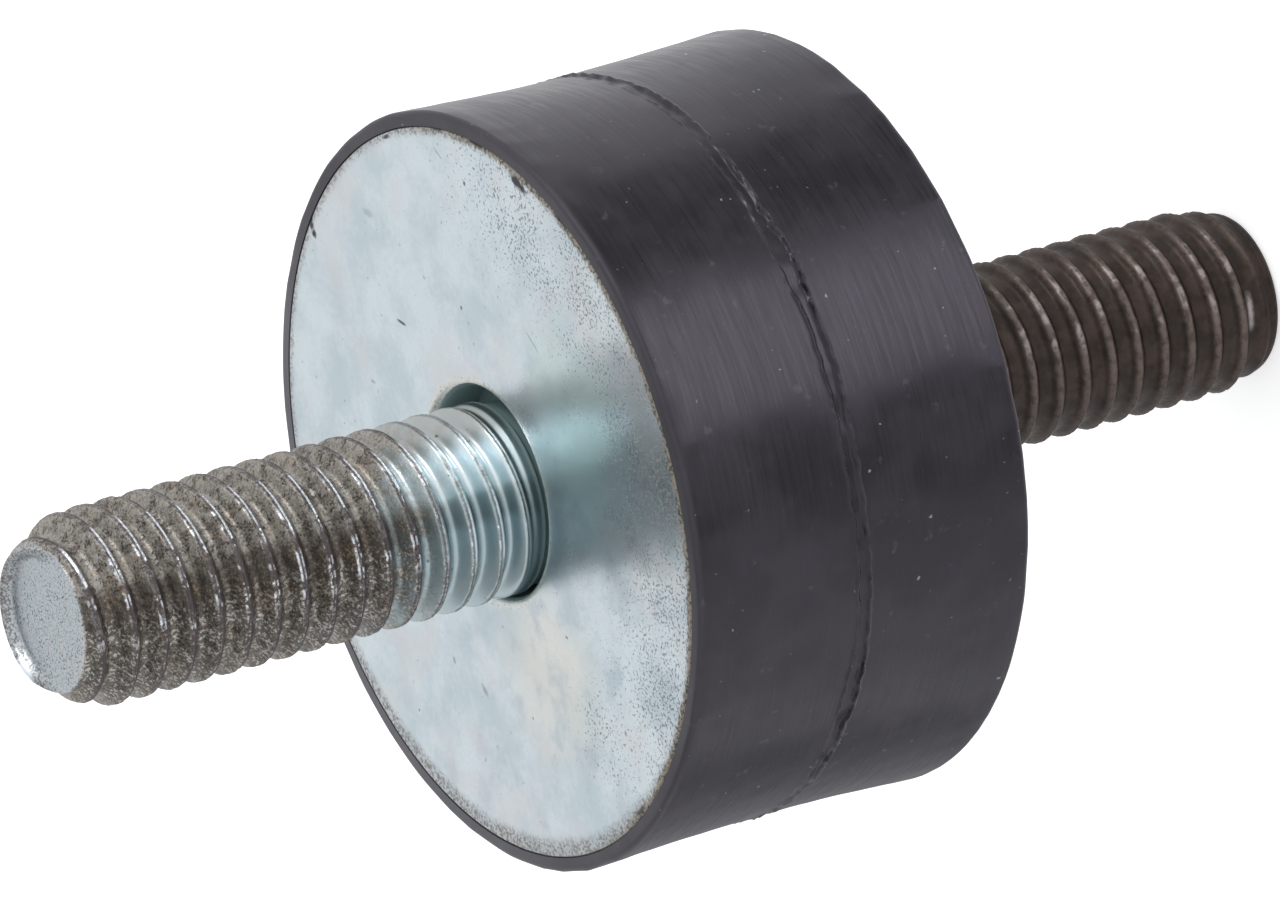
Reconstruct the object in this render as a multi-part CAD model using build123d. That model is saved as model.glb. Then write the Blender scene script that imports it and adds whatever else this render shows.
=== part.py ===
from build123d import *
from math import cos, radians, sin
import os

os.makedirs("parts", exist_ok=True)

# Bobbin vibration mount: a rubber block vulcanised between two steel end plates, each with a
# threaded stud. Millimetres. The axis is +Z, and z = 0 is the lower plate's mounting face.

# Rubber block
body_diameter = 30.0
body_height = 15.0  # from one mounting face to the other
waist_depth = 0.25  # how far the side draws in at mid height
rim_radius = 0.5
rim_sweep = 45  # the rim rounds through so many degrees, then a bevel leads it into the end face
parting_groove_width = 0.54  # mould parting line round the middle
parting_groove_depth = 0.15
parting_bead_width = 0.18  # raised edge on each side of the groove
parting_bead_height = 0.08

# End plates, pressed from sheet
plate_diameter = 28.8
plate_thickness = 2.0
hole_diameter = 8.4
hole_edge_bevel = 0.3  # the punch draws the hole's outer edge down

# Studs, M8 x 1.25
thread_diameter = 7.76  # over the crests, as rolled
stud_reach = 20.0  # from the mounting face to the stud's end
neck_diameter = 7.4  # plain stretch through the plate
head_diameter = 14.0
head_thickness = 1.8
head_edge_chamfer = 0.4
upper_end_chamfer = (1.9, 5.4)  # length, and diameter left at the end
lower_end_chamfer = (1.7, 6.2)
upper_stud_shift = (-0.25, 0.28)  # it stands loose in its hole until the rubber sets, a little off the axis

body_radius = body_diameter / 2
end_radius = body_radius - 2 * rim_radius * (1 - cos(radians(rim_sweep)))  # where the bevel meets the end
plate_radius = plate_diameter / 2
head_radius = head_diameter / 2
head_depth = plate_thickness + head_thickness  # how deep a head reaches below the mounting face


def parting_line(mid_height, waist_radius):
    """Draw the mould parting line from below to above mid height: raised edge, groove, raised edge."""
    bead_mid = (parting_groove_width + parting_bead_width) / 2
    bead_end = parting_groove_width / 2 + parting_bead_width
    crest_radius = waist_radius + parting_bead_height
    Polyline(
        (waist_radius, mid_height - bead_end),
        (crest_radius, mid_height - bead_mid),
        (waist_radius - parting_groove_depth, mid_height),
        (crest_radius, mid_height + bead_mid),
        (waist_radius, mid_height + bead_end),
    )
    return bead_end


def rim_point(end_height, inward, angle):
    """The point of the rim's arc that lies angle degrees on from the side."""
    inset = rim_radius * (1 - cos(radians(angle)))
    above_end = rim_radius * (1 - sin(radians(angle)))
    return (body_radius - inset, end_height + inward * above_end)


def side_and_rim(end_height, seam_height, inward):
    """Draw one waisted half of the side, from the parting line to the end face. inward is +1 or -1."""
    rim_height = end_height + inward * rim_radius
    flank_middle = (rim_height + seam_height) / 2
    to_waist = (flank_middle - body_height / 2) / (rim_height - body_height / 2)
    ThreePointArc(
        (body_radius - waist_depth, seam_height),
        (body_radius - waist_depth * (1 - to_waist**2), flank_middle),
        (body_radius, rim_height),
    )
    ThreePointArc(*[rim_point(end_height, inward, angle) for angle in (0, rim_sweep / 2, rim_sweep)])
    Line(rim_point(end_height, inward, rim_sweep), (end_radius, end_height))


def rubber_body():
    """One moulding: waisted side, rims that lap the plates, and pockets for plates and stud heads."""
    mid_height = body_height / 2
    with BuildPart() as block:
        with BuildSketch(Plane.XZ):
            with BuildLine():
                seam_half = parting_line(mid_height, body_radius - waist_depth)
                side_and_rim(0, mid_height - seam_half, 1)
                side_and_rim(body_height, mid_height + seam_half, -1)
                Polyline((end_radius, body_height), (0, body_height), (0, 0), (end_radius, 0))
            make_face()
        revolve(axis=Axis.Z)

    body = block.part
    for solid in (plate_blank(0), plate_blank(body_height - plate_thickness), lower_stud(), upper_stud()):
        body -= solid
    return body


def plate_blank(bottom):
    """The end plate's disc without its hole."""
    return Pos(0, 0, bottom + plate_thickness / 2) * Cylinder(plate_radius, plate_thickness)


def end_plate(bottom, outer_face):
    """A pressed disc with its clearance hole, whose outer edge is drawn down by the punch."""
    hole_radius = hole_diameter / 2
    hole = Pos(0, 0, bottom + plate_thickness / 2) * Cylinder(hole_radius, plate_thickness)
    plate = plate_blank(bottom) - hole
    circles = plate.edges().filter_by(GeomType.CIRCLE)
    hole_edges = circles.filter_by(lambda edge: abs(edge.radius - hole_radius) < 0.01)
    outer_edge = hole_edges.filter_by(lambda edge: abs(edge.center().Z - outer_face) < 0.01)
    return chamfer(outer_edge, hole_edge_bevel)


def stud(end_chamfer):
    """A headed stud standing up from z = 0, its mounting face: end, thread envelope, neck and head."""
    chamfer_length, end_diameter = end_chamfer
    tip_radius = end_diameter / 2
    thread_radius = thread_diameter / 2
    neck_radius = neck_diameter / 2
    run_out = thread_radius - neck_radius  # below the face the thread fades out at 45 degrees
    with BuildPart() as turned:
        with BuildSketch(Plane.XZ):
            with BuildLine():
                Polyline(
                    (0, stud_reach),
                    (tip_radius, stud_reach),
                    (thread_radius, stud_reach - chamfer_length),
                    (thread_radius, 0),
                    (neck_radius, -run_out),
                    (neck_radius, -plate_thickness),
                    (head_radius, -plate_thickness),
                    (head_radius, head_edge_chamfer - head_depth),
                    (head_radius - head_edge_chamfer, -head_depth),
                    (0, -head_depth),
                    (0, stud_reach),
                )
            make_face()
        revolve(axis=Axis.Z)

    return turned.part


def upper_stud():
    return Pos(*upper_stud_shift, body_height) * stud(upper_end_chamfer)


def lower_stud():
    return Rot(X=180) * stud(lower_end_chamfer)


parts = {
    "rubber_body": rubber_body(),
    "upper_plate": end_plate(body_height - plate_thickness, body_height),
    "lower_plate": end_plate(0, 0),
    "upper_stud": upper_stud(),
    "lower_stud": lower_stud(),
}

for name, solid in parts.items():
    export_step(solid, f"parts/{name}.step")
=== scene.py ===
import math

import bpy
import numpy as np
from mathutils import Matrix, Vector


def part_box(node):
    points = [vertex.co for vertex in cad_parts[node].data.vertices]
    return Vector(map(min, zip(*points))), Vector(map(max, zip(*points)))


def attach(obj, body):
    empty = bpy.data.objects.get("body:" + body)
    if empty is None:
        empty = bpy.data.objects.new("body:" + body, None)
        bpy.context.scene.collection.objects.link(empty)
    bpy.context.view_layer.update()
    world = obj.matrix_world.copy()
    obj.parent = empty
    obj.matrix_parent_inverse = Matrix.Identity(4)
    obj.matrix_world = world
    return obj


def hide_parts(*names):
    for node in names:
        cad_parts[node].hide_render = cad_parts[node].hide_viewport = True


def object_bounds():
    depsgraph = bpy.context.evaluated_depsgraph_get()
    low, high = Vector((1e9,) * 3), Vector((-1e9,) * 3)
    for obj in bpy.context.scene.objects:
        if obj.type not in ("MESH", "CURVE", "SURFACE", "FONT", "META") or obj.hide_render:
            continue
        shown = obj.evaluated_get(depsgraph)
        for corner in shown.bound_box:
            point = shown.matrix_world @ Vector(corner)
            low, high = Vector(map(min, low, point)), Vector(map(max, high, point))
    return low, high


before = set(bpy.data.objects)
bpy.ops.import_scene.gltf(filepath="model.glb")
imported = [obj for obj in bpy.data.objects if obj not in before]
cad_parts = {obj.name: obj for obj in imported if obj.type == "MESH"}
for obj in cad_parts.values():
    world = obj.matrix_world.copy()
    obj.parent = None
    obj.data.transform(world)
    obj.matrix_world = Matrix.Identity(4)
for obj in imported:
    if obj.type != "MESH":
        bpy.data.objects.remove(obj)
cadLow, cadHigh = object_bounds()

# Bobbin vibration mount: rubber between two zinc plated end plates, each with a threaded stud.
# The scene is in metres. Lengths in the dictionaries are in millimetres, angles in degrees.

mm = 0.001
scene = bpy.context.scene


def boxInMm(node):
    # a solid's lowest and highest corner, in millimetres
    low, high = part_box(node)
    return np.array(low) / mm, np.array(high) / mm


rubberHigh = boxInMm("rubber_body")[1]
plateLow, plateHigh = boxInMm("upper_plate")
studLow, studHigh = boxInMm("upper_stud")
bodyRadius = rubberHigh[0]
bodyHeight = rubberHigh[2]
plateRadius = plateHigh[0]
plateThickness = plateHigh[2] - plateLow[2]
headRadius = (studHigh[0] - studLow[0]) / 2
upperStudPlace = (studLow[:2] + studHigh[:2]) / 2  # the near stud stands a little off the axis
studReach = studHigh[2] - bodyHeight  # from the mounting face to the stud's end
headDepth = bodyHeight - studLow[2]  # from the mounting face down to the head's underside
upperTip, lowerTip = studHigh[2], -studReach


# surfaces are grids of points: rows follow a section, and columns go round the axis

def straight(start, end, steps):
    # points evenly spaced on the line from start towards end, without the end itself
    share = np.arange(steps)[:, None] / steps
    return np.array(start) * (1 - share) + np.array(end) * share


def arc(centre, radius, fromAngle, toAngle, steps):
    # centre plus radius times the cosine and sine of an angle that runs from one value towards the other
    angle = np.radians(np.linspace(fromAngle, toAngle, steps, endpoint=False))
    return np.array(centre) + radius * np.stack([np.cos(angle), np.sin(angle)], axis=1)


def swell(points, size, seed, waves=28):
    # smooth random height of unit spread: cosines of the place along random directions, added up;
    # their wavelengths lie round size, in millimetres
    draw = np.random.default_rng(seed)
    direction = draw.normal(size=(waves, 3))
    direction /= np.linalg.norm(direction, axis=1)[:, None]
    wavelength = size * draw.uniform(0.65, 1.6, waves)
    phase = draw.uniform(0, 2 * math.pi, waves)
    angle = points @ (direction * 2 * math.pi / wavelength[:, None]).T + phase
    return np.cos(angle).sum(axis=-1) * math.sqrt(2 / waves)


def smoothStep(value, start, end):
    # 0 up to start, 1 from end on, and 3t^2 - 2t^3 between them
    share = np.clip((value - start) / (end - start), 0, 1)
    return share * share * (3 - 2 * share)


def softLess(first, second, blend):
    # the smaller of two values, rounded over a stretch of about blend where they cross
    return 0.5 * (first + second - np.sqrt((first - second) ** 2 + blend**2))


def softMore(first, second, blend):
    # the larger of two values, rounded in the same way
    return -softLess(-first, -second, blend)


def swept(section, columns):
    # the section's radius and height in every column, and the columns' angles: a full turn in equal steps
    angle = (np.arange(columns) * 2 * math.pi / columns)[None, :]
    return section[:, :1] + 0 * angle, section[:, 1:] + 0 * angle, angle


def turned(radius, height, angle):
    # radius times the cosine and sine of the angle, at that height
    return np.stack([radius * np.cos(angle), radius * np.sin(angle), height + 0 * angle], axis=-1)


def linked(name, data):
    # an object that holds the data, in the scene
    made = bpy.data.objects.new(name, data)
    scene.collection.objects.link(made)
    return made


def gridPiece(name, points, poles=None, sharpAngle=40):
    # quads join each point to the next row and the next column, and the columns close on themselves;
    # rows close too, or end in a fan of triangles round each of two poles
    rows, columns = points.shape[:2]
    joinedRows = rows if poles is None else rows - 1
    here = np.arange(joinedRows)[:, None] * columns
    above = (np.arange(joinedRows)[:, None] + 1) % rows * columns
    column = np.arange(columns)[None, :]
    following = (column + 1) % columns
    quads = np.stack([here + column, here + following, above + following, above + column], axis=-1)
    faces = quads.reshape(-1, 4).tolist()
    corners = points.reshape(-1, 3)
    if poles is not None:
        corners = np.vstack([corners, np.array(poles)])
        first, last = rows * columns, rows * columns + 1
        top = (rows - 1) * columns
        fans = [(first, following, column), (last, top + column, top + following)]
        for fan in fans:
            faces += np.stack(np.broadcast_arrays(*fan), axis=-1)[0].tolist()
    mesh = bpy.data.meshes.new(name)
    mesh.from_pydata((corners * mm).tolist(), [], faces)
    mesh.polygons.foreach_set("use_smooth", np.ones(len(mesh.polygons), bool))
    mesh.set_sharp_from_angle(angle=math.radians(sharpAngle))
    return linked(name, mesh)


def flipped(points):
    # half a turn about the X line through the body's middle, which brings an upper piece below
    return points * [1, -1, -1] + [0, 0, bodyHeight]


# rubber block
rubber = {
    "columns": 1040,
    "waistDepth": 0.25,  # how far the side draws in at mid height
    "rimRadius": 0.24,
    "headChamfer": 0.4,
    "clearance": 0.006,  # between the side and the solid's own radius
    # the side's unevenness, coarse and fine, and the rim's: height, size, seed
    "coarseSwell": (0.015, 7, 3),
    "fineSwell": (0.004, 1.6, 4),
    "rimSwell": (0.02, 3, 5),
    "seamWidth": 0.5,  # mould parting groove
    "seamDepth": 0.1, "seamWall": 0.14,
    "seamStrip": 1.32,  # height of the finer rows that hold it
    # height, size and seed of how the groove wanders, its edge frays and its floor varies
    "seamWander": (0.05, 9, 11),
    "seamRagged": (0.02, 0.7, 13),
    "seamFloor": (0.25, 1.6, 14),
    "lipHeight": 0.035, "lipWidth": 0.06, "lipInset": 0.03,  # raised edge on each side of the groove
    "tearLean": 0.1,
    # torn flash on the lips: side (-1 lower, +1 upper), where round the body, how far, extra height
    "tears": [
        (-1, -69, 8, 0.1), (-1, -60, 3, 0.06), (1, -49, 5, 0.04), (-1, -142, 12, 0.06),
        (1, -150, 3, 0.07), (-1, 12, 6, 0.05), (1, 64, 8, 0.05), (-1, 118, 5, 0.08),
    ],
    # places where the groove gapes: where round the body, how far, extra width
    "gapes": [(-67, 7, 0.3), (-48, 4, 0.1), (-138, 8, 0.15), (95, 9, 0.2)],
}


def nearAngle(around, middle, reach):
    # a flat topped hump: e to the minus fourth power of the angle away, over reach
    away = (around - middle + 180) % 360 - 180
    return np.exp(-((away / reach) ** 4))


def seamHeight(points, across, around):
    # groove: a dip with a flat floor; lips: two bell curves beside it, higher where flash is torn;
    # all of it wanders a little and has a ragged edge
    half = rubber["seamWidth"] / 2 + np.zeros_like(across)
    for middle, reach, extra in rubber["gapes"]:
        half = half + extra / 2 * nearAngle(around, middle, reach)
    across = across - roughened(points * [1, 1, 0], *rubber["seamWander"])
    ragged = swell(points, 0.5, 12)
    floor = rubber["seamDepth"] * (1 + roughened(points * [1, 1, 0.3], *rubber["seamFloor"]))
    half = half + roughened(points * [1, 1, 0], *rubber["seamRagged"])
    height = -floor * (1 - smoothStep(np.abs(across), half - rubber["seamWall"], half))
    for side in (-1, 1):
        lip = rubber["lipHeight"] * (1 + 0.5 * ragged + 0.4 * swell(points, 2.6, 15 + side))
        lean = np.zeros_like(across)
        for tearSide, middle, reach, extra in rubber["tears"]:
            if tearSide == side:
                torn = nearAngle(around, middle, reach) * (0.75 + 0.4 * ragged)
                lip = lip + extra * torn
                lean = lean - side * rubber["tearLean"] * torn
        beside = across - side * (half + rubber["lipInset"]) - lean
        height = height + np.clip(lip, 0, None) * np.exp(-((beside / rubber["lipWidth"]) ** 2))
    return height


def rubberSection():
    # half a cut through the block, from the lower pole out, up the side and back in; the side draws in
    # by the waist's depth times one less the square of the height from the middle
    middle = bodyHeight / 2
    rim, chamfer = rubber["rimRadius"], rubber["headChamfer"]
    flat = bodyRadius - rim
    seamReach = rubber["seamStrip"] / 2
    flank = middle - seamReach - rim
    pocket = [
        (headRadius - chamfer, headDepth), (headRadius, headDepth - chamfer),
        (headRadius, plateThickness), (plateRadius, plateThickness), (plateRadius, 0), (flat, 0),
    ]
    lower = [straight((headRadius / 2, headDepth), pocket[0], 2)]
    lower += [straight(start, end, 2) for start, end in zip(pocket, pocket[1:])]
    lower.append(arc((flat, rim), rim, -90, 0, 8))
    lower.append(straight((bodyRadius, rim), (bodyRadius, rim + flank), 14))
    lower = np.vstack(lower)
    upper = lower[::-1] * [1, -1] + [0, bodyHeight]
    seam = straight((bodyRadius, rim + flank), (bodyRadius, middle + seamReach), 36)
    section = np.vstack([lower, seam, upper])
    side = section[:, 0] > bodyRadius - 1e-6
    reach = (section[:, 1] - middle) / (middle - rim)
    section[side, 0] -= rubber["waistDepth"] * (1 - reach[side] ** 2)
    return section, side


def roughened(points, height, size, seed):
    # swell brought to a height in millimetres
    return height * swell(points, size, seed)


def makeRubberBlock():
    # the section turned about the axis; noise makes the side uneven, and the upper head's pocket
    # moves off the axis with its stud
    section, side = rubberSection()
    radius, height, angle = swept(section, rubber["columns"])
    points = turned(radius, height, angle)
    across = height - bodyHeight / 2
    uneven = roughened(points, *rubber["coarseSwell"]) + roughened(points, *rubber["fineSwell"])
    seam = seamHeight(points, across, np.degrees(angle) + 0 * radius)
    rimward = smoothStep(np.abs(across), bodyHeight / 3, bodyHeight / 2)
    outside = section[:, :1] > plateRadius + 0.05
    radius = radius + side[:, None] * (uneven * (1 - rimward) + seam)
    radius = radius - outside * np.abs(roughened(points, *rubber["rimSwell"])) * rimward
    radius = np.minimum(radius, bodyRadius - rubber["clearance"])
    pocket = np.clip((plateRadius - radius) / (plateRadius - headRadius), 0, 1) * (across > 0)
    points = turned(radius, height, angle)
    points[..., :2] += pocket[..., None] * upperStudPlace
    poles = [(0, 0, headDepth), (*upperStudPlace, bodyHeight - headDepth)]
    return gridPiece("rubberBlock", points, poles, 50)


# end plates
plate = {
    "columns": 300,
    "holeRadius": 4.2,
    "lipRadius": 0.36,  # rolled over hole edge
    "edgeRadius": 0.14,
    "waviness": 0.01, "waveSizes": (6, 2.2),
}


def plateSection():
    # closed cut through one side of the disc: wall up, face in, hole wall down, underside out
    top, bottom = bodyHeight, bodyHeight - plateThickness
    hole, lip, edge = plate["holeRadius"], plate["lipRadius"], plate["edgeRadius"]
    return np.vstack([
        straight((plateRadius, bottom), (plateRadius, top - edge), 4),
        arc((plateRadius - edge, top - edge), edge, 0, 90, 6),
        straight((plateRadius - edge, top), (hole + lip, top), 60),
        arc((hole + lip, top - lip), lip, 90, 180, 10),
        straight((hole, top - lip), (hole, bottom), 5),
        straight((hole, bottom), (plateRadius, bottom), 6),
    ])


def makePlate(name, seed, below):
    # the section turned about the axis; slow noise dips the face a few hundredths of a millimetre
    radius, height, angle = swept(plateSection(), plate["columns"])
    points = turned(radius, height, angle)
    face = smoothStep(height, bodyHeight - 0.1, bodyHeight) * smoothStep(plateRadius - radius, 0.1, 0.8)
    coarse, fine = plate["waveSizes"]
    dip = plate["waviness"] * (swell(points, coarse, seed) + 0.5 * swell(points, fine, seed + 1) - 2.2)
    points[..., 2] += face * dip
    return gridPiece(name, flipped(points) if below else points)


# studs; heights are measured from the mounting face
stud = {
    "columns": 160, "rows": 590,
    "pitch": 1.25,
    "neckRadius": 3.6,
    "neckTop": -0.6,
    "shoulder": (-0.55, -0.35),  # from the neck out to the collar
    "collarRadius": 3.8,
    "threadStart": 0.9,  # where the thread is full
    "headChamfer": 0.4,
    "rootRound": 0.16, "coneRound": 0.1, "lipReach": 0.065,
    "wobble": (0.012, 5),  # of the thread along the axis: height, size
    "faceMiddle": 2.2,  # radius inside which the end face has few rows
    "upper": {
        "crest": 3.82, "crestWidth": 0.24, "crestSpread": 0.06, "firstCrest": 0.78, "lastCrest": 0.1,
        "depth": 0.6, "soft": 0.05, "lip": 0.02, "wear": 0.02, "fade": 1.1, "seed": 31,
        "chamfer": 1.8, "endRadius": 2.74, "endEdge": 0.1, "cup": 0.4,
    },
    "lower": {
        "crest": 3.77, "crestWidth": 0.2, "crestSpread": 0.2, "firstCrest": 0.07, "lastCrest": 1.4,
        "depth": 0.42, "soft": 0.2, "lip": 0, "wear": 0.02, "fade": 1.5, "seed": 41,
        "chamfer": 1.7, "endRadius": 3.1, "endEdge": 0.45, "cup": 0,
    },
    # the upper end's raised rim: its side across the axis, how far it goes round, and its radii
    "rimSide": (0.478, 0.878),
    "rimTurn": (-0.3, 0.5),
    "rimRadii": (2.3, 2.68),
}


def threadRadius(height, around, form):
    # distance from the nearest crest, measured along the axis, gives the 60 degree flanks, whose crest
    # follows the end's cone down; crest and root are rounded where they meet the flanks, and rolling
    # leaves a lip along each edge of the crest
    pitch, crest, half = stud["pitch"], form["crest"], form["crestWidth"] / 2
    phase = (height - form["firstCrest"]) / pitch - around / (2 * math.pi)
    across = (phase - np.round(phase)) * pitch
    cone = form["endRadius"] + (crest - form["endRadius"]) / form["chamfer"] * (studReach - height)
    top = softLess(cone, crest, stud["coneRound"])
    inside = half - np.abs(across)
    depth = form["depth"] * (0.4 + 0.6 * smoothStep(top, form["endRadius"], crest))
    depth = depth * smoothStep(studReach - height, 0, form["fade"])
    flank = top + inside * math.tan(math.radians(60))
    profile = softMore(softLess(flank, top, form["soft"]), top - depth, stud["rootRound"])
    lip = np.exp(-(((inside - 0.03) / stud["lipReach"]) ** 2))
    profile = profile + form["lip"] * (lip - 0.5 * smoothStep(inside, 0.06, 0.12))
    shown = smoothStep(studReach - height, form["lastCrest"] / 2, form["lastCrest"])
    return profile, across, lip * shown, smoothStep(inside, -form["crestSpread"], 0.03) * shown


def studSection(form):
    # half a cut through the stud, in three stretches: head and neck, thread, end
    neck, chamfer = stud["neckRadius"], stud["headChamfer"]
    outline = [
        (headRadius - chamfer, -headDepth), (headRadius, chamfer - headDepth),
        (headRadius, -plateThickness), (neck, -plateThickness), (neck, stud["neckTop"]),
    ]
    head = [straight((headRadius / 2, -headDepth), outline[0], 2)]
    head += [straight(start, end, 3) for start, end in zip(outline, outline[1:])]
    edge, endRadius, inner = form["endEdge"], form["endRadius"], stud["faceMiddle"]
    threadEnd = studReach - edge
    thread = straight(outline[-1], (neck, threadEnd), stud["rows"])
    flat = endRadius + (form["crest"] - endRadius) / form["chamfer"] * edge - edge
    end = [arc((flat, threadEnd), edge, 0, 90, 6), straight((flat, studReach), (inner, studReach), 10),
           straight((inner, studReach), (0, studReach), 6)]
    return np.vstack(head), thread, np.vstack(end)


def makeStud(name, form, centre, below):
    # the thread fades into a collar that ends in the plate's hole; the upper end's face lies below a rim
    # that stands up on one side only
    head, thread, end = studSection(form)
    radius, height, angle = swept(np.vstack([head, thread, end]), stud["columns"])
    shaft = slice(len(head), len(head) + len(thread))
    local = turned(radius, height, angle)[shaft]
    seed = form["seed"]
    wobbled = height[shaft] + roughened(local, *stud["wobble"], seed)
    profile, across, lip, crest = threadRadius(wobbled, angle, form)
    wear = 0.6 * swell(local, 0.35, seed + 1) + 0.4 * swell(local, 1.6, seed + 2)
    profile = profile - np.abs(form["wear"] * crest * wear)
    started = smoothStep(height[shaft], 0, stud["threadStart"])
    neck, collar = stud["neckRadius"], stud["collarRadius"]
    shoulder = smoothStep(height[shaft], *stud["shoulder"])
    radius[shaft] = neck + (collar - neck) * shoulder + (profile - collar) * started
    points = turned(radius, height, angle)
    nearEnd = height > studReach - form["chamfer"]
    towardsRim = (points[..., :2] @ np.array(stud["rimSide"])) / np.maximum(radius, 0.1)
    raised = smoothStep(towardsRim, *stud["rimTurn"]) * smoothStep(radius, *stud["rimRadii"])
    ceiling = studReach - form["cup"] * (1 - raised)
    cupped = form["cup"] > 0
    cut = smoothStep(height - ceiling, -0.1, 0.05) * (1 - raised) * cupped
    points[..., 2] = np.where(nearEnd & cupped, softLess(height, ceiling, 0.02), height) + bodyHeight
    poles = np.array([(0, 0, bodyHeight - headDepth), (0, 0, points[-1, :, 2].mean())])
    if below:
        points, poles = flipped(points), flipped(poles)
    points[..., :2] += centre
    poles[:, :2] += centre
    piece = gridPiece(name, points, poles, 60)
    shown = {"crest": crest, "baseLip": lip * (across < 0), "tipLip": lip * (across >= 0)}
    for label, values in shown.items():
        addValues(piece, label, spread(values * started, shaft, radius))
    addValues(piece, "end", np.append(cut.ravel(), [0, cupped]))
    return piece


def spread(values, rows, radius):
    # values of some rows of the grid, with 0 in the other rows and at the poles
    whole = np.zeros_like(radius)
    whole[rows] = values
    return np.append(whole.ravel(), [0, 0])


def addValues(piece, name, values):
    # one number for each point, which the finish reads by name
    made = piece.data.attributes.new(name, "FLOAT", "POINT")
    made.data.foreach_set("value", values.astype(np.float32))


def feed(tree, socket, value):
    # a socket is linked, any other value is set on the input itself, and a colour is opaque
    if isinstance(value, bpy.types.NodeSocket):
        tree.links.new(value, socket)
    else:
        socket.default_value = (*value, 1) if socket.type == "RGBA" else value


def add(tree, kind, inputs=None, **settings):
    # one node: settings are its options, inputs are values or sockets to link
    made = tree.nodes.new("ShaderNode" + kind)
    for name, value in settings.items():
        setattr(made, name, value)
    for name, value in (inputs or {}).items():
        feed(tree, made.inputs[name], value)
    return made


def treeOf(values):
    # the node tree that the first socket among the values belongs to
    return next(value.id_data for value in values if isinstance(value, bpy.types.NodeSocket))


def calc(operation, *values, clamp=False):
    # one sum on numbers, of which at least one is a socket
    inputs = dict(enumerate(values))
    return add(treeOf(values), "Math", inputs, operation=operation, use_clamp=clamp).outputs[0]


def chain(operation, values):
    # one operation carried through several values in turn
    result = values[0]
    for value in values[1:]:
        result = calc(operation, result, value)
    return result


def times(*values):
    # all multiplied
    return chain("MULTIPLY", values)


def timesPlus(first, second, third, clamp=False):
    # the first two multiplied, then the third added
    return calc("MULTIPLY_ADD", first, second, third, clamp=clamp)


def larger(*values):
    # the largest of them
    return chain("MAXIMUM", values)


def oneLess(value):
    # 1 less the value, which turns a mask inside out
    return calc("SUBTRACT", 1, value)


def vector(operation, *values, **named):
    # one sum on vectors
    inputs = {**dict(enumerate(values)), **named}
    return add(treeOf(values), "VectorMath", inputs, operation=operation).outputs


def ramp(value, fromLow, fromHigh, toLow=0, toHigh=1):
    # a value's range brought to another, with soft ends
    inputs = {"Value": value, "From Min": fromLow, "From Max": fromHigh, "To Min": toLow, "To Max": toHigh}
    return add(value.id_data, "MapRange", inputs, interpolation_type="SMOOTHSTEP").outputs[0]


def blend(mask, first, second):
    # first times what the mask leaves of 1, plus second times the mask
    return add(mask.id_data, "Mix", {0: mask, 6: first, 7: second}, data_type="RGBA").outputs[2]


def newGroup(name, inputs, outputs):
    # an empty shader node group with named sockets: inputs are (name, default), outputs are names
    group = bpy.data.node_groups.new(name, "ShaderNodeTree")
    for socketName, default in inputs:
        kind = "NodeSocketVector" if isinstance(default, tuple) else "NodeSocketFloat"
        socket = group.interface.new_socket(socketName, in_out="INPUT", socket_type=kind)
        socket.default_value = default
    for socketName in outputs:
        group.interface.new_socket(socketName, in_out="OUTPUT", socket_type="NodeSocketFloat")
    start = group.nodes.new("NodeGroupInput")
    end = group.nodes.new("NodeGroupOutput")
    return group, start.outputs, end.inputs


def pointInMm(tree):
    # where the surface point lies in the part's own frame, in millimetres
    coordinate = add(tree, "TexCoord").outputs["Object"]
    return vector("SCALE", coordinate, Scale=1 / mm)[0]


def makeMottleGroup():
    # clouds: fractal noise of a size, with its contrast raised about the middle
    inputs = [("Size", 1), ("Detail", 3), ("Contrast", 1), ("Shift", (0, 0, 0)),
              ("Stretch", (1, 1, 1))]
    group, start, end = newGroup("mottle", inputs, ["Value"])
    point = vector("MULTIPLY", pointInMm(group), start["Stretch"])[0]
    point = vector("ADD", point, start["Shift"])[0]
    scale = calc("DIVIDE", 1, start["Size"])
    noise = {"Vector": point, "Scale": scale, "Detail": start["Detail"], "Roughness": 0.6}
    centred = calc("SUBTRACT", add(group, "TexNoise", noise).outputs["Fac"], 0.5)
    group.links.new(timesPlus(centred, start["Contrast"], 0.5, clamp=True), end["Value"])
    return group


def makeSpeckGroup():
    # specks: one ragged dot in some of the cells of a random pattern, each of its own size
    inputs = [("Spacing", 0.5), ("Share", 0.3), ("Dot", 0.3), ("Shift", (0, 0, 0))]
    group, start, end = newGroup("specks", inputs, ["Mask"])
    point = pointInMm(group)
    scale = calc("DIVIDE", 1, start["Spacing"])
    noise = {"Vector": point, "Scale": times(scale, 2.5), "Detail": 1}
    ragged = vector("SUBTRACT", add(group, "TexNoise", noise).outputs["Color"], (0.5, 0.5, 0.5))[0]
    ragged = vector("SCALE", ragged, Scale=times(start["Spacing"], 0.45))[0]
    point = vector("ADD", point, ragged)[0]
    point = vector("ADD", point, start["Shift"])[0]
    cell = add(group, "TexVoronoi", {"Vector": point, "Scale": scale})
    pick = add(group, "SeparateColor", {"Color": cell.outputs["Color"]}).outputs
    chosen = calc("LESS_THAN", pick[0], start["Share"])
    reach = times(start["Dot"], calc("ADD", pick[1], 0.35))
    dot = ramp(cell.outputs["Distance"], times(reach, 0.6), reach, 1, 0)
    group.links.new(times(dot, chosen), end["Mask"])
    return group


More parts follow.
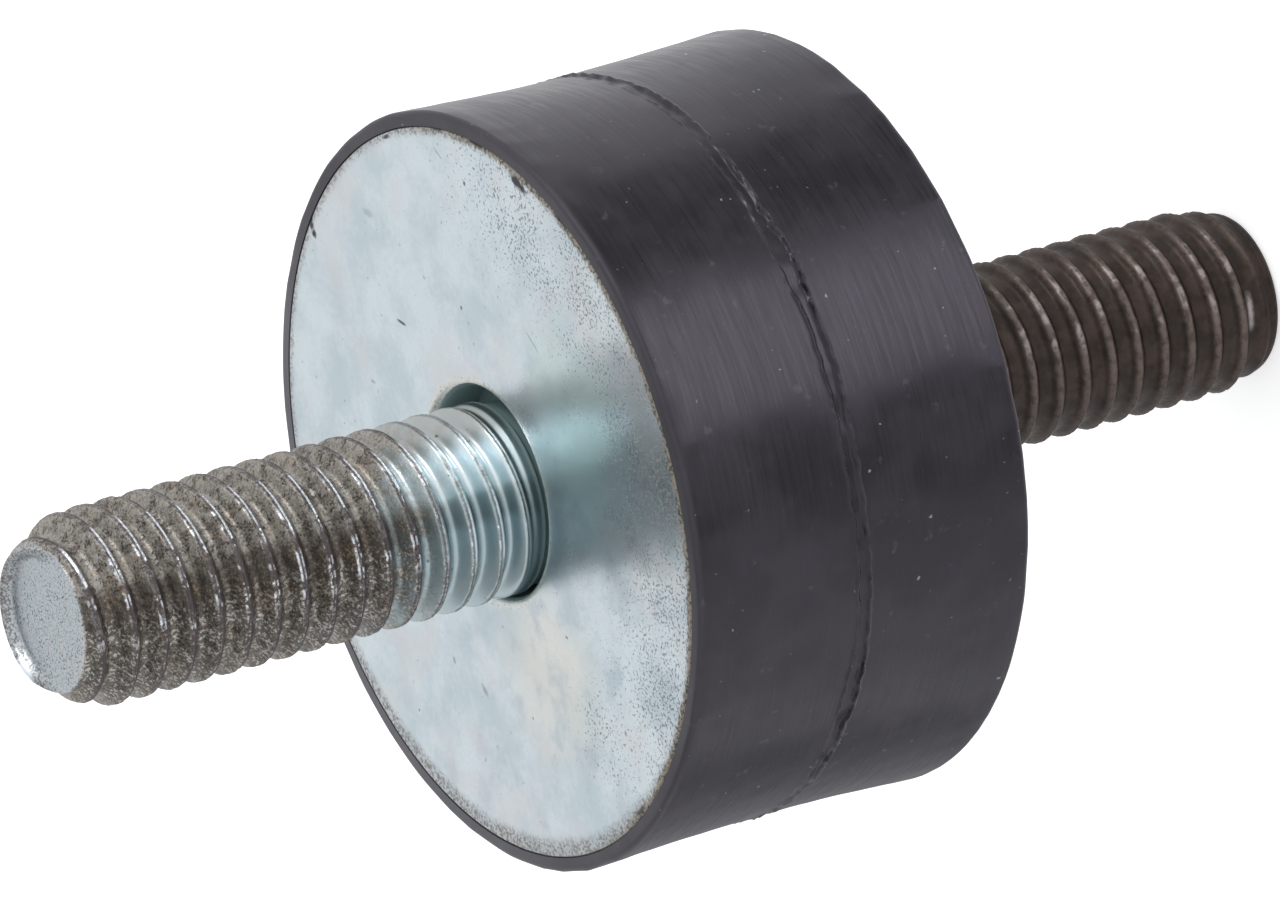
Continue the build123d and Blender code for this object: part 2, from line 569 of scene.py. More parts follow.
def makePatchGroup():
    # patch: 1 inside an ellipsoid of given half sizes, 0 outside, with an edge broken up by noise
    inputs = [("Centre", (0, 0, 0)), ("Reach", (1, 1, 1)), ("Turn", (0, 0, 0)),
              ("Soft", 0.5), ("Ragged", 0.5), ("Grain", 0.5)]
    group, start, end = newGroup("patch", inputs, ["Mask"])
    point = pointInMm(group)
    away = vector("SUBTRACT", point, start["Centre"])[0]
    away = add(group, "VectorRotate", {"Vector": away, "Rotation": start["Turn"]},
               rotation_type="EULER_XYZ", invert=True).outputs[0]
    away = vector("DIVIDE", away, start["Reach"])[0]
    length = vector("LENGTH", away)["Value"]
    noise = {"Vector": point, "Scale": calc("DIVIDE", 1, start["Grain"]), "Detail": 3}
    centred = calc("SUBTRACT", add(group, "TexNoise", noise).outputs["Fac"], 0.5)
    length = timesPlus(times(centred, start["Ragged"]), 2, length)
    mask = ramp(length, oneLess(start["Soft"]), 1, 1, 0)
    group.links.new(mask, end["Mask"])
    return group


def makeAxisGroup():
    # distance from the axis, height along it, and distance to the -Y side, in millimetres
    group, _, end = newGroup("axisPlace", [], ["Radius", "Height", "Front"])
    point = pointInMm(group)
    parts = add(group, "SeparateXYZ", {0: point}).outputs
    group.links.new(vector("LENGTH", vector("MULTIPLY", point, (1, 1, 0))[0])["Value"], end["Radius"])
    group.links.new(parts[2], end["Height"])
    group.links.new(times(parts[1], -1), end["Front"])
    return group


def makeFacingGroup():
    # cosine of the angle, seen along the axis, between a point and a direction given in degrees
    # from +X towards -Y
    group, start, end = newGroup("facing", [("Angle", 0)], ["Value"])
    flat = vector("MULTIPLY", pointInMm(group), (1, 1, 0))[0]
    parts = add(group, "SeparateXYZ", {0: vector("NORMALIZE", flat)[0]}).outputs
    turn = calc("RADIANS", start["Angle"])
    along = times(parts[0], calc("COSINE", turn))
    aside = times(parts[1], calc("SINE", turn))
    group.links.new(calc("SUBTRACT", along, aside), end["Value"])
    return group


mottle = makeMottleGroup()
specks = makeSpeckGroup()
patch = makePatchGroup()
axisPlace = makeAxisGroup()
facing = makeFacingGroup()


def useGroup(tree, group, **values):
    # a group set into a tree, with its inputs given by name
    made = tree.nodes.new("ShaderNodeGroup")
    made.node_tree = group
    for name, value in values.items():
        feed(tree, made.inputs[name], value)
    return made.outputs


def mottled(tree, size, detail, contrast, shift=(0, 0, 0), stretch=(1, 1, 1)):
    # clouds of a size in millimetres
    return useGroup(tree, mottle, Size=size, Detail=detail, Contrast=contrast, Shift=shift,
                    Stretch=stretch)["Value"]


def dotted(tree, spacing, share, dot, shift=(0, 0, 0)):
    # specks so far apart, in a share of the places, of a size in spacings
    return useGroup(tree, specks, Spacing=spacing, Share=share, Dot=dot, Shift=shift)["Mask"]


def patched(tree, centre, reach, soft, ragged, grain, turn=0, height=bodyHeight):
    # one patch on a flat face, turned about the axis by so many degrees
    return useGroup(tree, patch, Centre=(*centre, height), Reach=reach, Turn=(0, 0, math.radians(turn)),
                    Soft=soft, Ragged=ragged, Grain=grain)["Mask"]


def facingShare(tree, angle):
    # 1 on the side that faces an angle, 0 square to it, -1 on the far side
    return useGroup(tree, facing, Angle=angle)["Value"]


def towards(tree, angle, fullWithin, noneBeyond):
    # 1 on the side that faces an angle, up to so many degrees away from it, and 0 further off
    return ramp(facingShare(tree, angle), *np.cos(np.radians([noneBeyond, fullWithin])))


def pointValue(tree, name):
    # a number that the piece keeps at each of its points
    return add(tree, "Attribute", attribute_name=name).outputs["Fac"]


def emptyTree(owner):
    # the owner's node tree with nothing in it
    owner.use_nodes = True
    owner.node_tree.nodes.clear()
    return owner.node_tree


def newMaterial(name):
    # a material with one shader, ready to be linked
    material = bpy.data.materials.new(name)
    tree = emptyTree(material)
    shader = add(tree, "BsdfPrincipled")
    add(tree, "OutputMaterial", {"Surface": shader.outputs[0]})
    return material, tree, shader


def connect(shader, **sockets):
    # sockets by the shader's own input names, with _ for a space
    for name, socket in sockets.items():
        shader.id_data.links.new(socket, shader.inputs[name.replace("_", " ")])


def bump(height, depth):
    # height from 0 to 1 stands for depth, in millimetres
    inputs = {"Height": height, "Strength": 1, "Distance": depth * mm}
    return add(height.id_data, "Bump", inputs).outputs[0]


# Noises: size in millimetres, detail, contrast, shift, stretch. Dots: spacing in millimetres, share,
# size in spacings, shift. Patches: centre, half sizes, softness, raggedness, grain. Sides: the angle
# they face, from +X towards -Y, and how far from it they are full and fade to nothing.


def noises(tree, look, *names):
    # the finish's noises of these names
    return [mottled(tree, *look[name]) for name in names]


def sides(tree, look, *names):
    # the finish's sides of these names, as masks
    return [towards(tree, *look[name]) for name in names]


def layered(colour, look, *layers):
    # the finish's colours laid over one another, each where its mask says
    for mask, name in layers:
        colour = blend(mask, colour, look[name])
    return colour


def addMarks(tree, marks, ragged):
    # the strongest of several patches
    total = 0
    for x, y, halfLength, halfWidth, turn, strength in marks:
        mask = patched(tree, (x, y), (halfLength, halfWidth, 0.5), 0.6, ragged, 0.25, turn)
        total = larger(times(mask, strength), total)
    return total


zincPlate = {
    "pale": (0.6, 0.675, 0.715),
    "blueGrey": (0.5, 0.585, 0.63),
    "warm": (0.6, 0.615, 0.64),
    "cream": (0.66, 0.66, 0.62),
    "teal": (0.58, 0.73, 0.705),
    "edgeTint": (0.22, 0.205, 0.2),
    "crust": (0.25, 0.21, 0.155),
    "patchy": (0.4, 0.47, 0.53),
    "holeWall": (0.4, 0.53, 0.53),
    "holeEdge": (0.66, 0.66, 0.62),
    "dark": (0.06, 0.065, 0.065),
    "smear": (0.02, 0.018, 0.02),
    "clouds": (2.8, 3, 2), "warmClouds": (3.6, 2, 2, (31, 3, 1)),
    "grain": (0.25, 4, 1.6, (7, 3, 1)), "patches": (1.7, 4, 2.4, (4, 12, 5)),
    "sprinkle": (0.13, 2, 2.3, (3, 5, 7)), "speckle": (0.12, 2, 3, (2, 2, 8)),
    "smallPits": (0.4, 0.22, 0.15), "largePits": (1.3, 0.14, 0.07, (1, 9, 2)),
    # where it is cream, teal and stained
    "patchShapes": [
        ((-7.4, -1.1), (4.6, 4.6, 2), 0.8, 0.3, 1.6), ((1, -8), (6, 5, 2), 0.9, 0.3, 1.6),
        ((-10.3, -4), (3.6, 4.2, 2), 0.9, 0.5, 1.2),
    ],
    "patchyFacing": 150, "tintFacing": 205,
    "tintWidth": 0.5, "crustWidth": 0.22,  # of the outer edge
    "relief": 0.006,
    # scratches and stains on the near plate: x, y, half length, half width, turn, strength
    "marks": [
        (7.2, 3, 0.42, 0.09, 60, 0.9), (7.1, -1.8, 0.12, 0.1, 0, 0.8),
        (11.6, -4.6, 0.14, 0.12, 0, 0.9), (4.8, -9.2, 0.09, 0.07, 0, 0.7),
        (5.1, -6.45, 0.7, 0.035, 30, 0.6), (13, -3.2, 0.36, 0.04, 34, 0.6),
        (11.6, 3.3, 0.5, 0.2, 60, 0.25), (-7.3, 4.2, 0.35, 0.18, 20, 0.35),
        (-5.9, 5.9, 0.2, 0.12, 0, 0.4), (8.6, 0.4, 0.12, 0.08, 40, 0.4),
        (5.3, 6.4, 0.25, 0.09, 60, 0.35), (-10.2, -5.6, 0.15, 0.1, 0, 0.6),
    ],
    # rubber drawn over the plate's edge
    "smears": [
        (11, -8.6, 0.8, 0.28, 40, 1), (12.05, 7.85, 0.7, 0.24, 166, 1),
        (11.45, 7.9, 0.25, 0.2, 0, 1), (14.2, 0.35, 0.3, 0.12, 95, 0.9),
        (12.9, -6.3, 0.7, 0.14, 62, 1), (9.2, -11, 0.7, 0.12, 40, 0.9),
        (13.9, -3.6, 0.5, 0.12, 75, 0.8), (6.7, -12.8, 0.5, 0.1, 28, 0.9),
        (-13.2, -5.2, 0.6, 0.14, 112, 0.8),
    ],
}


def makeZincPlateMaterial(name, marked):
    # zinc in clouds of several tints, pits thickest towards -Y, a crust at the outer edge and a pale
    # rolled hole edge; the marked plate also has patches, scratches and smears
    look = zincPlate
    material, tree, shader = newMaterial(name)
    axis = useGroup(tree, axisPlace)
    clouds, warmth, grain, patchy, sprinkle, speckled = noises(
        tree, look, "clouds", "warmClouds", "grain", "patches", "sprinkle", "speckle")
    both = timesPlus(grain, 0.3, times(clouds, 0.7))
    low = ramp(facingShare(tree, look["patchyFacing"]), -0.3, 0.8, 0.12, 0.6)
    front = times(ramp(axis["Front"], 0, 9), ramp(axis["Radius"], 6.5, 12),
                  ramp(patchy, 0.1, 0.6, 0.45, 1))
    colour = layered(look["blueGrey"], look, (ramp(both, 0.25, 0.7), "pale"),
                     (ramp(warmth, 0.45, 0.85, 0, 0.7), "warm"))
    if marked:
        cream, teal, stained = (patched(tree, *shape) for shape in look["patchShapes"])
        colour = layered(colour, look, (times(cream, 0.75), "cream"), (times(teal, 0.8), "teal"))
        front = larger(front, times(stained, 0.8))

    dense = ramp(timesPlus(front, 0.36, sprinkle), 0.97, 1.06)
    smallPits, largePits = dotted(tree, *look["smallPits"]), dotted(tree, *look["largePits"])
    pits = larger(times(dense, 0.8), times(smallPits, 0.4), largePits)
    away = ramp(facingShare(tree, look["tintFacing"]), 0.3, 1, 0, 0.42)
    ragged = timesPlus(grain, 0.35, calc("SUBTRACT", axis["Radius"], 0.17))
    tint = ramp(calc("ADD", ragged, away), plateRadius - look["tintWidth"], plateRadius, 0, 0.95)
    tint = times(tint, ramp(speckled, 0.35, 0.75, 0.3, 1))
    crust = ramp(timesPlus(patchy, 0.2, ragged), plateRadius - look["crustWidth"], plateRadius - 0.06)
    crust = times(crust, ramp(axis["Front"], -1, 7, 0.15, 1))

    hole = plate["holeRadius"]
    edge = ramp(axis["Radius"], hole + 0.5, hole + 0.32)
    edge = times(edge, ramp(grain, 0.15, 0.6, 0.3, 1))
    wall = times(ramp(axis["Height"], bodyHeight - 0.12, bodyHeight - 0.3),
                 ramp(axis["Radius"], hole + 0.4, hole + 0.2))
    colour = layered(
        colour, look, (times(ramp(patchy, 0.45, 1), low), "patchy"), (times(pits, 0.78), "dark"),
        (tint, "edgeTint"), (times(crust, 0.85), "crust"),
        (times(crust, ramp(speckled, 0.5, 0.8)), "dark"), (times(edge, 0.7), "holeEdge"),
        (times(edge, ramp(speckled, 0.62, 0.95, 0, 0.6)), "crust"), (wall, "holeWall"))
    dull = larger(times(pits, 0.6), times(crust, 0.7), times(tint, 0.6), wall)
    if marked:
        scratches, smears = addMarks(tree, look["marks"], 0.4), addMarks(tree, look["smears"], 0.5)
        colour = layered(colour, look, (scratches, "dark"), (smears, "smear"))
        dull = larger(dull, times(scratches, 0.5), smears)
    roughness = timesPlus(dull, 0.25, ramp(both, 0.2, 0.8, 0.33, 0.26))
    normal = bump(calc("SUBTRACT", both, times(pits, 0.8)), look["relief"])
    connect(shader, Base_Color=colour, Roughness=roughness, Metallic=oneLess(dull), Normal=normal)
    return material


zincStud = {
    "clean": (0.5, 0.61, 0.645),
    "pale": (0.6, 0.68, 0.7),
    "broadHighlight": (0.8, 0.91, 0.95),
    "shade": (0.38, 0.47, 0.5),
    "darkReflection": (0.15, 0.195, 0.2),
    "stained": (0.36, 0.36, 0.345),
    # painted shade: the stud's colour where it goes down into the plate's hole
    "neck": (0.24, 0.33, 0.34),
    "grime": (0.325, 0.305, 0.275),
    "grimeBrownAndShade": (0.125, 0.105, 0.088),
    "grimeDark": (0.06, 0.05, 0.043),
    "grimePaleAndGlints": (0.56, 0.56, 0.545),
    "rust": (0.36, 0.25, 0.14),
    "crease": (0.085, 0.068, 0.075),
    "paintedHighlight": (0.8, 0.85, 0.92),
    "end": (0.47, 0.515, 0.555),
    "endRing": (0.56, 0.54, 0.51),
    "clouds": (1.3, 3, 2), "coarse": (0.45, 3, 2.4, (5, 1, 3)),
    "fine": (0.13, 2, 3, (1, 8, 3)), "finest": (0.1, 1, 3.2, (9, 8, 3)),
    "spots": (0.5, 0.4, 0.14, (4, 4, 1)),
    "smudge": ((-1.3, -0.4), (0.5, 0.42, 1), 0.7, 0.6, 0.4),
    "topSide": (5, 22, 60), "broadHighlightSide": (66, 10, 24), "darkReflectionSide": (99, 3, 14),
    "middleSide": (106, 8, 27), "lowerSide": (150, 24, 48), "shadeSide": (150, 40, 62),
    # where painted highlights lie on the crests' edges: in lines, in beads and clean of dirt
    "wholeSide": (56, 8, 20), "lineSide": (60, 16, 28), "beadSide": (68, 6, 20),
    "secondSide": (108, 10, 22), "clearSide": (112, 12, 24),
    "ringFacing": 60, "glintSide": (236, 10, 22),  # on the end face and its rim
    "dirtStart": 5, "dirtFull": 9,  # heights above the plate
    "relief": 0.012,
}


def makeZincStudMaterial():
    # clean zinc near the plate, with a painted highlight, painted shade and a painted dark reflection by
    # side; grime from half way to the end; and painted highlights along the crests on one side
    look = zincStud
    material, tree, shader = newMaterial("zincStudFinish")
    axis = useGroup(tree, axisPlace)
    crest, end, baseLip, tipLip = (pointValue(tree, name) for name in ("crest", "end", "baseLip", "tipLip"))
    clouds, coarse, fine, finest = noises(tree, look, "clouds", "coarse", "fine", "finest")
    top, broadHighlight, darkReflection, middle, lower, shade = sides(
        tree, look, "topSide", "broadHighlightSide", "darkReflectionSide", "middleSide", "lowerSide", "shadeSide")
    spots = dotted(tree, *look["spots"])
    # painted broad highlight on the side facing 66 degrees, painted shade on the side facing 150, and a
    # painted dark reflection across the sides facing 99 degrees, off the crests
    colour = layered(
        look["clean"], look, (ramp(clouds, 0.2, 0.8), "pale"), (times(top, 0.7), "stained"),
        (shade, "shade"), (times(broadHighlight, 0.55), "broadHighlight"),
        (times(darkReflection, oneLess(crest), 0.45), "darkReflection"), (times(spots, 0.7), "grimeDark"))

    # dirt begins further from the plate in some places, and sooner on the crests
    reach = timesPlus(clouds, 2, timesPlus(coarse, 1.8, axis["Height"]))
    reach = timesPlus(top, 1, timesPlus(crest, 0.8, reach))
    dirty = ramp(reach, bodyHeight + look["dirtStart"], bodyHeight + look["dirtFull"])
    # painted shade: the grime is browner on the sides facing 106 and 150 degrees; its pale specks are
    # grains, made thicker on the lower side as painted glints
    brown = larger(middle, times(lower, 0.7), ramp(clouds, 0.65, 0.3, 0, 0.3))
    grain = timesPlus(lower, 0.75, timesPlus(middle, -0.12, 0.3))
    pale = times(ramp(fine, 0.55, 0.72), ramp(coarse, 0.25, 0.6, 0.15, 1), grain)
    dark = times(ramp(finest, 0.42, 0.26), ramp(coarse, 0.75, 0.3, 0.25, 0.95))
    rust = times(ramp(clouds, 0.5, 0.8), ramp(fine, 0.6, 0.85), 0.6)
    grime = layered(
        look["grime"], look, (brown, "grimeBrownAndShade"), (ramp(coarse, 0.6, 0.15, 0, 0.55), "grimeDark"),
        (pale, "grimePaleAndGlints"), (dark, "grimeDark"), (rust, "rust"))
    colour = blend(dirty, colour, grime)
    early = times(ramp(crest, 0.3, 0.9), ramp(coarse, 0.25, 0.65, 0.4, 1),
                  ramp(fine, 0.2, 0.7, 0.2, 0.8))
    colour = blend(early, colour, grime)

    # painted highlights on the crests: lines along the lip nearer the plate, beads on both lips, and a part
    # without dirt
    crease = times(ramp(crest, 0.5, 0.95), ramp(fine, 0.2, 0.7, 0.9, 0.3))
    crease = larger(crease, ramp(baseLip, 0.2, 0.7))
    wholeSide, lineSide, beadSide, secondSide, clearSide = sides(
        tree, look, "wholeSide", "lineSide", "beadSide", "secondSide", "clearSide")
    whole = larger(wholeSide, ramp(coarse, 0.42, 0.56))
    lines = times(ramp(baseLip, 0.2, 0.65), lineSide, whole, ramp(finest, 0.1, 0.5, 0.5, 1))
    beads = times(ramp(tipLip, 0.35, 0.85), beadSide, ramp(clouds, 0.5, 0.65))
    second = times(ramp(larger(tipLip, baseLip), 0.35, 0.85), secondSide,
                   ramp(clouds, 0.38, 0.6, 0.1, 0.9))
    beads = times(larger(beads, second), ramp(coarse, 0.45, 0.62), ramp(finest, 0.1, 0.6, 0.5, 1))
    clear = times(ramp(baseLip, 0.05, 0.7), clearSide, calc("SUBTRACT", 0.7, dirty, clamp=True))
    crestHighlights = larger(lines, beads, clear)
    # painted shade: a dull darker teal where the stud goes down into the plate's hole
    hole = ramp(axis["Height"], bodyHeight - 0.12, bodyHeight - 0.4)
    colour = layered(colour, look, (times(crease, dirty), "crease"), (crestHighlights, "paintedHighlight"), (hole, "neck"))

    # the end face and its raised rim
    ring = ramp(facingShare(tree, look["ringFacing"]), -0.5, 0.5, 0, 0.9)
    ring = times(ring, ramp(axis["Radius"], 2.5, 2.85))
    endDots = times(ramp(finest, 0.36, 0.18), ramp(coarse, 0.7, 0.3, 0.35, 0.9))
    smudge = patched(tree, *look["smudge"], height=upperTip)
    face = layered(
        look["end"], look, (ring, "endRing"), (endDots, "grimeDark"),
        (ramp(coarse, 0.45, 0.1, 0, 0.4), "shade"), (times(smudge, 0.45), "endRing"),
        (ramp(fine, 0.4, 0.1, 0, 0.3), "grime"))
    colour = blend(end, colour, face)
    rim = ramp(axis["Height"], upperTip - 0.25, upperTip - 0.1)
    glint = times(towards(tree, *look["glintSide"]), rim, ramp(coarse, 0.2, 0.5))
    rimSide = times(ramp(axis["Height"], upperTip - 0.4, upperTip - 0.25), oneLess(glint))
    rimDots = times(rimSide, ramp(finest, 0.6, 0.34), 0.7)
    colour = layered(colour, look, (glint, "paintedHighlight"), (times(rimSide, 0.75), "end"), (rimDots, "grimeBrownAndShade"))

    coated = times(dirty, oneLess(crestHighlights), oneLess(larger(end, glint)))
    dull = timesPlus(hole, 0.8, times(coated, 0.35), clamp=True)
    roughness = timesPlus(hole, 0.3, timesPlus(coated, 0.15, timesPlus(end, 0.1, 0.28)))
    normal = bump(times(timesPlus(fine, 0.6, times(coarse, 0.4)), coated), look["relief"])
    connect(shader, Base_Color=colour, Roughness=roughness, Metallic=oneLess(dull), Normal=normal)
    return material


brownStud = {
    "dark": (0.030, 0.020, 0.016),
    "brown": (0.050, 0.034, 0.028),
    "ridge": (0.16, 0.122, 0.108),
    "paintedHighlight": (0.5, 0.45, 0.45),
    "clouds": (1, 3, 2.2, (3, 9, 2)), "fine": (0.3, 2, 2.2, (3, 1, 2)), "crestHighlightFacing": 90,
    "highlightSide": (72, 12, 36), "bevelHighlightSide": (106, 3, 16),
    "bevelHeight": 1.5,  # from the stud's end
    "relief": 0.01,
}


def makeBrownStudMaterial():
    # brown in clouds, the crests paler and brighter towards one side as painted highlight, with painted
    # highlights on one side of the crests and at the bevel
    look = brownStud
    material, tree, shader = newMaterial("brownStudFinish")
    height, crest = useGroup(tree, axisPlace)["Height"], pointValue(tree, "crest")
    clouds, fine = noises(tree, look, "clouds", "fine")
    highlightSide, bevelHighlightSide = sides(tree, look, "highlightSide", "bevelHighlightSide")
    # painted highlight: the pale crests grow brighter towards the side facing 90 degrees
    side = ramp(facingShare(tree, look["crestHighlightFacing"]), 0.45, 0.98, 0.35, 1)
    ridge = times(ramp(crest, 0.1, 1), ramp(fine, 0.1, 0.7, 0.4, 0.9), side)
    # painted highlights: pale blobs on the crests, on one side only
    paintedHighlight = times(ramp(crest, 0.6, 1), ramp(clouds, 0.42, 0.7), ramp(fine, 0.1, 0.8, 0.1, 0.6),
                 highlightSide)
    # a painted highlight streak round part of the bevel
    corner = lowerTip + look["bevelHeight"]
    bevel = times(ramp(height, corner + 0.25, corner), ramp(height, corner - 0.25, corner),
                  ramp(fine, 0.1, 0.6, 0.5, 1), bevelHighlightSide)
    colour = layered(look["dark"], look, (ramp(clouds, 0.3, 0.7), "brown"), (ridge, "ridge"),
                     (larger(paintedHighlight, bevel), "paintedHighlight"))
    roughness, metal = ramp(fine, 0.2, 0.8, 0.4, 0.5), ramp(fine, 0.2, 0.8, 0.7, 0.5)
    normal = bump(fine, look["relief"])
    connect(shader, Base_Color=colour, Roughness=roughness, Metallic=metal, Normal=normal)
    return material


rubberLook = {
    "black": (0.010, 0.009, 0.011),
    "bloom": (0.020, 0.018, 0.022),
    "dust": (0.3, 0.28, 0.28),
    "rim": (0.1, 0.1, 0.11),
    "gloss": (0.88, 0.82, 1),
    "bloomTint": (0.85, 0.83, 1),
    "bloomStrength": 0.16, "bloomSpread": 0.35,
    "streaks": (0.5, 4, 2, (0, 0, 0), (0.16, 0.16, 4)), "clouds": (3.5, 3, 1.8),
    "scuffs": (0.9, 5, 2.2, (6, 6, 6)), "coarseDust": (0.75, 0.28, 0.085),
    "fineDust": (0.4, 0.22, 0.09, (2, 2, 2)),
    "rimFacing": -105, "relief": 0.003,
}


def makeRubberMaterial():
    # black with a faint bloom, duller streaks that run round it, dust, and a paler rim on the far side
    look = rubberLook
    material, tree, shader = newMaterial("rubberFinish")
    height = useGroup(tree, axisPlace)["Height"]
    fromMiddle = calc("ABSOLUTE", calc("SUBTRACT", height, bodyHeight / 2))
    rim = ramp(fromMiddle, bodyHeight / 2 - 0.3, bodyHeight / 2 - 0.06)
    streaks, clouds, scuffs = noises(tree, look, "streaks", "clouds", "scuffs")
    far = ramp(facingShare(tree, look["rimFacing"]), 0.1, 0.8, 0.2, 1)
    dust, fineDust = dotted(tree, *look["coarseDust"]), dotted(tree, *look["fineDust"])
    dust = larger(times(dust, 0.9), times(fineDust, 0.5), ramp(scuffs, 0.8, 1, 0, 0.12))
    colour = layered(look["black"], look, (ramp(clouds, 0.35, 0.75), "bloom"), (times(rim, far), "rim"),
                     (dust, "dust"))
    roughness = timesPlus(rim, 0.2, timesPlus(streaks, 0.2, timesPlus(clouds, 0.06, 0.19)))
    normal = bump(streaks, look["relief"])
    gloss = {"Specular Tint": look["gloss"], "Sheen Weight": look["bloomStrength"],
             "Sheen Roughness": look["bloomSpread"], "Sheen Tint": look["bloomTint"]}
    for name, value in gloss.items():
        feed(tree, shader.inputs[name], value)
    connect(shader, Base_Color=colour, Roughness=roughness, Normal=normal)
    return material


def dress(piece, node, material):
    # the piece rides on the one body, stands for its solid and takes its finish
    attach(piece, "root")
    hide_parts(node)
    piece.data.materials.append(material)


dress(makeRubberBlock(), "rubber_body", makeRubberMaterial())
print("rubber block made")
upperPlate, lowerPlate = makePlate("upperPlate", 61, False), makePlate("lowerPlate", 71, True)
dress(upperPlate, "upper_plate", makeZincPlateMaterial("zincPlateMarked", True))
dress(lowerPlate, "lower_plate", makeZincPlateMaterial("zincPlatePlain", False))
print("end plates made")
upperStud = makeStud("upperStud", stud["upper"], upperStudPlace, False)
lowerStud = makeStud("lowerStud", stud["lower"], (0, 0), True)
dress(upperStud, "upper_stud", makeZincStudMaterial())
dress(lowerStud, "lower_stud", makeBrownStudMaterial())
print("studs made")


# studio
studio = {
    "floorSize": 4, "floorColour": (0.86, 0.86, 0.86),
    "white": (1, 1, 1),
    "worldLight": 0.8,
    "floorSeen": 0.55,  # added for the camera, so that the floor reads white
    "floorMirrored": 0.2,  # added in reflections
    "cardLift": 0.0006, "cardSteps": 12,
}

lamps = [
    # name, place and target in metres, width, height, power in watts
    ("keyLamp", (0.55, -0.25, 0.42), (0, 0, 0.0075), 0.24, 0.18, 1.3),
]

ringCards = [
    # cards laid round the part on the floor, which only show in its gloss: name, from and to in
    # degrees from +X towards -Y, inner and outer radius in millimetres, brightness
    ("greyCardRight", 10, 47, 38, 90, 0.29),
    ("brightCard", 53, 88, 42, 84, 3.1),
    ("greyCardFront", 90, 120, 38, 90, 0.45),
    ("greyCardLeft", 188, 250, 38, 90, 0.3),
]

skyCards = [
    # cards above, which only show in gloss: name, direction from the part, distance, half width and
    # half height in metres, brightness
    ("darkFlag", (-0.18, 0.06, 1), 0.27, 0.042, 0.05, 0.14),
    ("greyWall", (-0.52, 0.34, 0.78), 0.42, 0.19, 0.2, 0.45),
]


def rectangle(halfWidth, halfHeight):
    # the corners of a level rectangle round the origin
    signs = np.array([(-1, -1, 0), (1, -1, 0), (1, 1, 0), (-1, 1, 0)])
    return signs * [halfWidth, halfHeight, 0]


def flatPiece(name, corners, faces):
    # an object with these corners, in metres, and the empty tree of its material
    mesh = bpy.data.meshes.new(name)
    mesh.from_pydata(corners.tolist(), [], faces)
    material = bpy.data.materials.new(name)
    mesh.materials.append(material)
    return linked(name, mesh), emptyTree(material)


def glow(tree, strength):
    # white light of a strength
    return add(tree, "Emission", {"Color": studio["white"], "Strength": strength}).outputs[0]


def makeFloor():
    # a wide square under the part, matt, with a glow added that only the camera and gloss see
    half = studio["floorSize"] / 2
    floor, tree = flatPiece("floor", rectangle(half, half) + [0, 0, cadLow.z], [(0, 1, 2, 3)])
    matt = add(tree, "BsdfDiffuse", {"Color": studio["floorColour"]}).outputs[0]
    path = add(tree, "LightPath").outputs
    mirrored = larger(path["Is Glossy Ray"], path["Is Transmission Ray"])
    lift = times(mirrored, studio["floorMirrored"])
    lift = timesPlus(path["Is Camera Ray"], studio["floorSeen"], lift)
    both = add(tree, "AddShader", {0: matt, 1: glow(tree, lift)}).outputs[0]
    add(tree, "OutputMaterial", {"Surface": both})


def makeCard(name, corners, faces, brightness):
    # a plain glowing or grey card that only glossy surfaces show
    card, tree = flatPiece(name, corners, faces)
    add(tree, "OutputMaterial", {"Surface": glow(tree, brightness)})
    card.visible_camera = card.visible_diffuse = card.visible_shadow = card.visible_transmission = False


def makeRingCard(name, fromAngle, toAngle, inner, outer, brightness):
    # two rows of points at the inner and outer radius, from one angle to the other
    steps = studio["cardSteps"]
    angle = -np.radians(np.linspace(fromAngle, toAngle, steps + 1))
    rows = [turned(radius * mm, cadLow.z + studio["cardLift"], angle) for radius in (inner, outer)]
    faces = [(i, i + 1, i + steps + 2, i + steps + 1) for i in range(steps)]
    makeCard(name, np.vstack(rows), faces, brightness)


def makeSkyCard(name, direction, distance, halfWidth, halfHeight, brightness):
    # a rectangle across the direction
    aim = Vector(direction).normalized()
    turn = aim.to_track_quat("Z", "Y").to_matrix()
    corners = rectangle(halfWidth, halfHeight) @ np.array(turn).T + np.array(aim * distance)
    makeCard(name, corners, [(0, 1, 2, 3)], brightness)


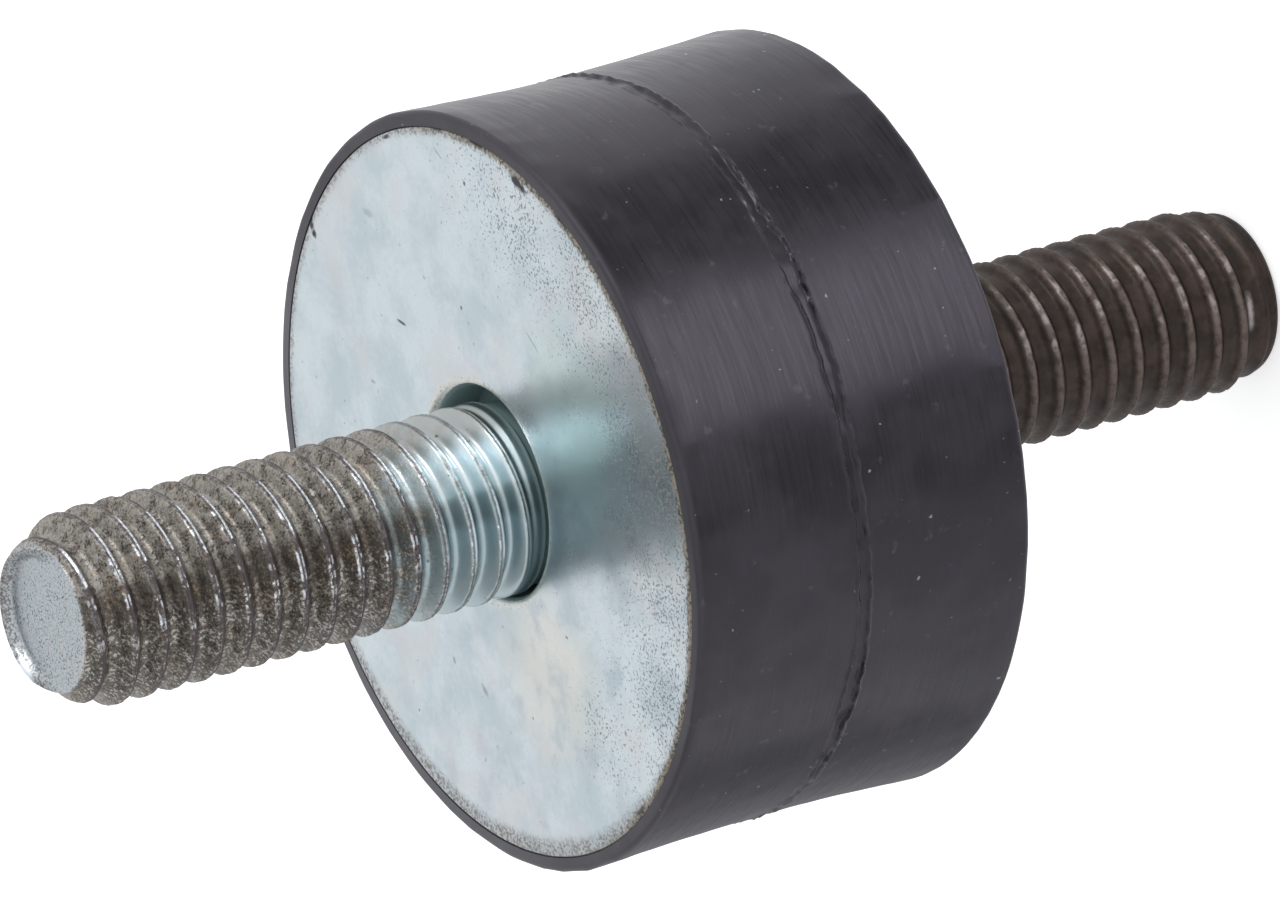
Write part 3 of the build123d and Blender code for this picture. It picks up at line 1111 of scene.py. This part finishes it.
def makeWorld():
    # white to the camera and in gloss, and less bright as light on the part
    world = bpy.data.worlds.new("paleRoom")
    scene.world = world
    tree = emptyTree(world)
    path = add(tree, "LightPath").outputs
    seen = larger(path["Is Camera Ray"], path["Is Glossy Ray"], path["Is Transmission Ray"])
    strength = ramp(seen, 0, 1, studio["worldLight"], 1)
    background = add(tree, "Background", {"Color": studio["white"], "Strength": strength}).outputs[0]
    add(tree, "OutputWorld", {"Surface": background})


def makeLamp(name, location, target, width, height, power):
    # a rectangle of light turned towards its target, out of the camera's sight
    lamp = bpy.data.lights.new(name, "AREA")
    lamp.shape = "RECTANGLE"
    lamp.size, lamp.size_y, lamp.energy = width, height, power
    holder = linked(name, lamp)
    holder.location = location
    holder.rotation_euler = (Vector(target) - Vector(location)).to_track_quat("-Z", "Y").to_euler()
    holder.visible_camera = False


camera = {
    "distance": 38,  # in body radii
    "elevation": 29.7,
    "roll": -105.05,
    "lens": 415.77, "sensorWidth": 36,
    "clip": (0.05, 10),  # metres
    "offset": (0.0267, 0.0024),  # of the body's middle from the picture's, in body radii
}


def makeCamera():
    # the view looks along +Y and down; its right and up are turned about the line of sight
    tilt, roll = math.radians(camera["elevation"]), math.radians(camera["roll"])
    forward = Vector((0, math.cos(tilt), -math.sin(tilt)))
    level, rise = Vector((1, 0, 0)), Vector((0, math.sin(tilt), math.cos(tilt)))
    right = level * math.cos(roll) + rise * math.sin(roll)
    up = rise * math.cos(roll) - level * math.sin(roll)
    unit = bodyRadius * mm
    middle = Vector((0, 0, bodyHeight * mm / 2))
    offset = right * camera["offset"][0] + up * camera["offset"][1] + forward * camera["distance"]
    data = bpy.data.cameras.new("camera")
    data.lens, data.sensor_width = camera["lens"], camera["sensorWidth"]
    data.clip_start, data.clip_end = camera["clip"]
    holder = linked("camera", data)
    view = Matrix((right, up, -forward)).transposed().to_4x4()
    holder.matrix_world = Matrix.Translation(middle - offset * unit) @ view
    scene.camera = holder


makeFloor()
makeWorld()
for lamp in lamps:
    makeLamp(*lamp)
for card in ringCards:
    makeRingCard(*card)
for card in skyCards:
    makeSkyCard(*card)
makeCamera()
scene.view_settings.view_transform = "Standard"
print("studio made")
